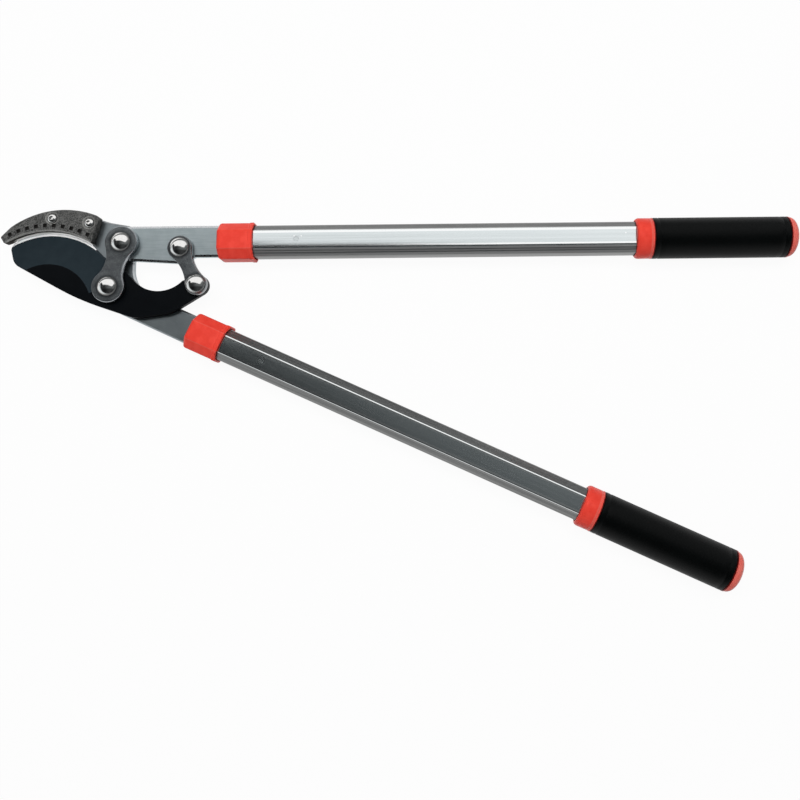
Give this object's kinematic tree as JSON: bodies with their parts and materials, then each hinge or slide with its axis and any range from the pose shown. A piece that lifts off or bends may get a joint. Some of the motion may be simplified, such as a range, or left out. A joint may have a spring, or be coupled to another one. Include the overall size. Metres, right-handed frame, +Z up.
{
  "type": "anvil lopper",
  "caption": "Long-handled anvil lopper: a curved black blade closes on a fixed textured anvil through a compound lever head; eight-sided metal handles with black grips.",
  "frame": {"origin": "on the plane that the tool lies on, under the main pivot, at the flat end of the main pivot bolt", "axes": "+X along the upper handle towards its grip; +Y across the head towards the anvil; +Z up out of the side with the domed bolt heads"},
  "size_m": [0.7417, 0.3526, 0.038],
  "materials": {
    "satin_steel": "satin plate steel with a light chamfer",
    "link_steel": "dark satin steel",
    "cast_steel": "rough cast",
    "coated_blade": "low-friction black coating",
    "polished_steel": "polished",
    "plain_steel": "plain zinc",
    "aluminium": "satin anodised",
    "red_plastic": "moulded, glossy",
    "black_grip": "matt black"
  },
  "bodies": {
    "lower_handle": {"jaw_plate": "satin_steel", "anvil": "cast_steel", "anvil_screw_front": "polished_steel", "anvil_screw_back": "polished_steel", "anvil_nut_front": "plain_steel", "anvil_nut_back": "plain_steel", "front_link": "link_steel", "main_pivot_bolt": "polished_steel", "main_pivot_bush": "plain_steel", "main_pivot_nut": "plain_steel", "blade_pivot_bolt": "polished_steel", "blade_pivot_bush": "plain_steel", "blade_pivot_nut": "plain_steel", "lower_ferrule": "red_plastic", "lower_tube": "aluminium", "lower_tang_pin": "plain_steel", "lower_collar": "red_plastic", "lower_grip": "black_grip", "lower_cap": "red_plastic"},
    "upper_handle": {"upper_tang": "satin_steel", "upper_ferrule": "red_plastic", "upper_tube": "aluminium", "upper_tang_pin": "plain_steel", "upper_collar": "red_plastic", "upper_grip": "black_grip", "upper_cap": "red_plastic"},
    "blade": {"blade": "coated_blade"},
    "rear_link": {"rear_link": "link_steel", "tang_link_bolt": "polished_steel", "tang_link_nut": "plain_steel", "blade_link_bolt": "polished_steel", "blade_link_nut": "plain_steel"}
  },
  "joints": [
    {"name": "main_pivot", "type": "hinge", "parent": "lower_handle", "child": "upper_handle", "pos_m": [0, 0, 0.019], "axis": [0, 0, 1], "range_deg": [0, 60]},
    {"name": "blade_pivot", "type": "hinge", "parent": "lower_handle", "child": "blade", "pos_m": [-0.0101, -0.0419, 0.019], "axis": [0, 0, 1], "range_deg": [0, 40.2]},
    {"name": "link_pivot", "type": "hinge", "parent": "upper_handle", "child": "rear_link", "pos_m": [0.0546, -0.0058, 0.019], "axis": [0, 0, 1], "range_deg": [-58.5, 0]}
  ],
  "couplings": [
    {"joint": "blade_pivot", "follows": "main_pivot", "ratio": 0.668},
    {"joint": "link_pivot", "follows": "main_pivot", "ratio": -0.97}
  ]
}
